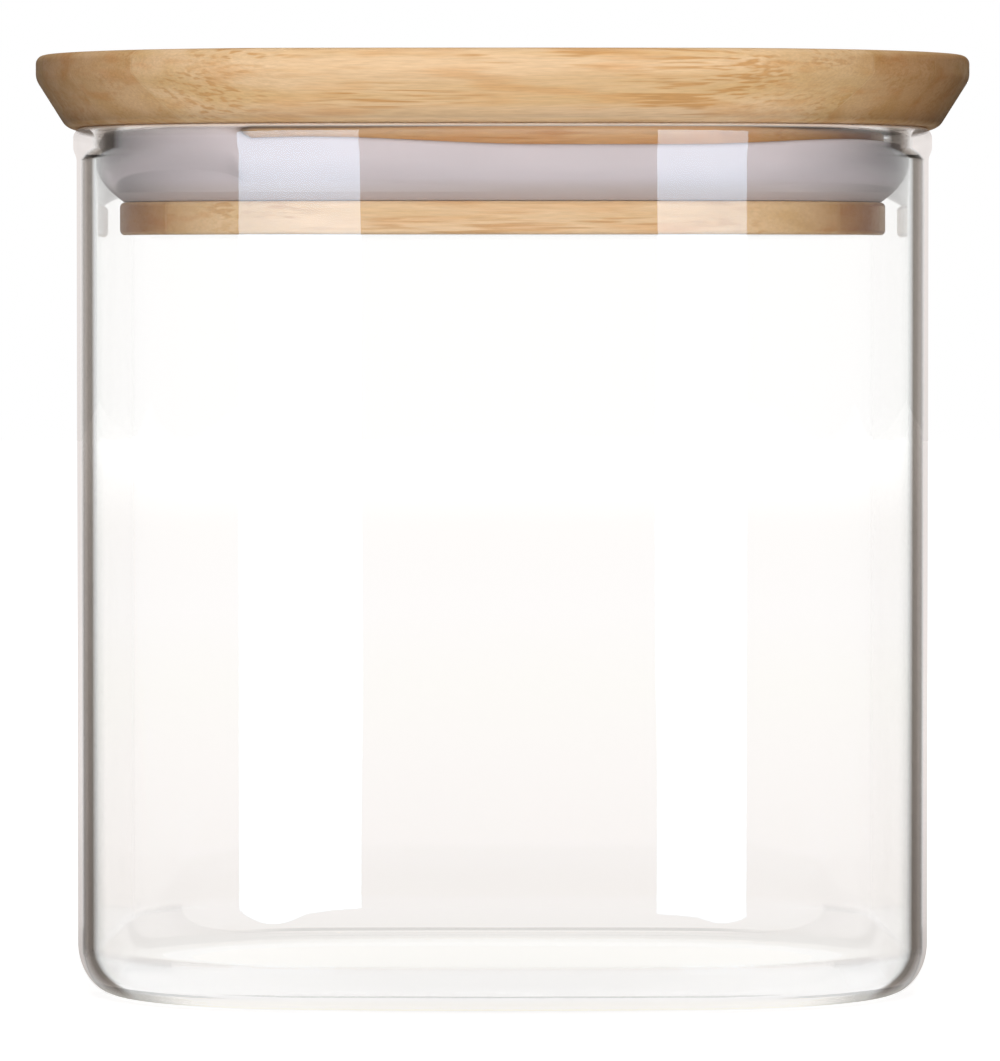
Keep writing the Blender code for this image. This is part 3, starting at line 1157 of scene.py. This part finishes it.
# Painted light at the board's lowest edge, a painted shadow just above it, and painted light on the upright
# band at the top.
board_painted_edge_light_and_shade = (
    (0.0, (1.2, 1.2, 1.25)),
    (0.25 * mm, (0.95, 0.95, 0.97)),
    (0.6 * mm, (0.73, 0.74, 0.78)),
    (1.0 * mm, (0.80, 0.80, 0.82)),
    (1.8 * mm, (0.93, 0.93, 0.94)),
    (2.6 * mm, (0.97, 0.97, 0.96)),
    (5.0 * mm, (0.97, 0.97, 0.96)),
    (5.8 * mm, (1.0, 1.04, 1.09)),
)

board_cut = board_half + glue_line
board_wood = bamboo("bamboo_board", board_cut, board_strips, board_end_grain_and_shade, board_painted_edge_light_and_shade, board_pattern)
board.data.materials.append(board_wood)

# %% Wood of the plug
plug_strips = (0.85, 0.10, 0.60, 0.90, 0.40, 0.70, 0.30, 0.85, 0.55, 0.10, 0.75)
plug_pattern = 40.0
# Partly the darker cut ends, partly painted shade on the sides, deeper on the right.
plug_end_grain_and_shade = (
    (-1.0, (0.49, 0.355, 0.22)),
    (-0.85, (0.53, 0.39, 0.24)),
    (-0.7, (0.76, 0.68, 0.57)),
    (-0.5, (0.89, 0.88, 0.83)),
    (0.0, (1.0, 1.0, 1.0)),
    (0.5, (0.83, 0.79, 0.70)),
    (0.7, (0.63, 0.52, 0.37)),
    (0.88, (0.43, 0.26, 0.11)),
    (1.0, (0.40, 0.24, 0.10)),
)
# Painted shade on the plug's neck, under the board and behind the seal's lip.
neck_painted_shade = (
    (-8.5 * mm, (1.0, 1.0, 1.0)),
    (-3.2 * mm, (0.70, 0.53, 0.34)),
    (-1.8 * mm, (0.74, 0.60, 0.43)),
    (-0.2 * mm, (1.0, 1.0, 1.0)),
)

plug_cut = plug_half + glue_line
plug_wood = bamboo("bamboo_plug", plug_cut, plug_strips, plug_end_grain_and_shade, neck_painted_shade, plug_pattern, True)
plug.data.materials.append(plug_wood)

# %% [markdown]
# ## Silicone finish
# The seal is pale grey silicone with a trace of lilac. It is satin, with a faint cloudiness
# and a fine moulded grain, and a little light passes through its thin lip. Where it turns
# to the left and the right it is painted darker, as painted shade, and just above the
# plug's disc it has painted shade warmed by painted light that the disc throws on it.

# %% Silicone finish
silicone_pale = (0.58, 0.515, 0.53)
silicone_deep = (0.54, 0.48, 0.495)
# Painted shade where the seal turns to the left and the right.
silicone_painted_side_shade = ((0.4, 1.0), (0.6, 0.87), (0.7, 0.74), (0.8, 0.53), (0.88, 0.31), (0.95, 0.17), (1.0, 0.15))
# Painted shade and warm painted bounce light just above the plug's disc, over this height.
disc_bounce_reach = 2.5 * mm
silicone_painted_shade_and_bounce = ((0.1, (0.80, 0.74, 0.68)), (0.5, (0.88, 0.85, 0.80)), (1.0, (1.0, 1.0, 1.0)))
cloud_grain = (60, 60, 180)
moulded_grain = (3500, 3500, 3500)
cloud_levels = (0.3, 0.7)
silicone_roughness = (0.45, 0.55)
grain_strength = 0.02
grain_depth = 0.03 * mm
silicone_shine = 0.1
light_passed = 0.25
light_colours = (1.0, 0.85, 0.85)
light_reach = 1.2 * mm

silicone = bpy.data.materials.new("pale_silicone")
tree = new_tree(silicone)
coordinates = add(tree, "ShaderNodeTexCoord").outputs
place = coordinates["Object"]
clouds = noise(tree, place, cloud_grain, detail=3.0)
grain = noise(tree, place, moulded_grain, detail=1.0)
colour = ramp(tree, clouds, tuple(zip(cloud_levels, (silicone_deep, silicone_pale))))
sideways = sum_up(tree, "ABSOLUTE", axes_of(tree, coordinates["Normal"])["X"])
colour = shade_with(tree, colour, ramp(tree, sideways, silicone_painted_side_shade))
above_disc = rescale(tree, axes_of(tree, place)["Z"], (disc_top, disc_top + disc_bounce_reach), (0.0, 1.0))
colour = shade_with(tree, colour, ramp(tree, above_disc, silicone_painted_shade_and_bounce))
links = {"Strength": grain_strength, "Distance": grain_depth, "Height": grain}
bump = add(tree, "ShaderNodeBump", links).outputs[0]
shader = add(
    tree,
    "ShaderNodeBsdfPrincipled",
    {
        "Base Color": colour,
        "Roughness": rescale(tree, clouds, cloud_levels, silicone_roughness),
        "Normal": bump,
        "Specular IOR Level": silicone_shine,
        "Subsurface Weight": light_passed,
        "Subsurface Radius": light_colours,
        "Subsurface Scale": light_reach,
    },
)
add(tree, "ShaderNodeOutputMaterial", {"Surface": shader.outputs[0]})
seal.data.materials.append(silicone)
print("nodes in the silicone:", len(tree.nodes))

# %% [markdown]
# ## Bodies and lights
# Each mesh takes the place of one solid and rides on that solid's body, so that board,
# plug and seal rise together when the lid is lifted. This is also where each piece is
# given to the lamps that light it.

# %% Bodies and lights
panels = (lit_by_panels, lit_with_table)
rim_lights = (lit_by_rim_light,)
for piece, body, node, slot, lights in (
    (glass, "jar", "glass_jar", "clear_glass", rim_lights),
    (board, "lid", "lid_board", "bamboo_board", panels),
    (plug, "lid", "lid_plug", "bamboo_plug", panels),
    (seal, "lid", "seal_ring", "pale_silicone", panels),
):
    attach(piece, body)
    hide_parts(node)
    for receivers in lights:
        receivers.objects.link(piece)
    print(piece.name, "rides on", body)
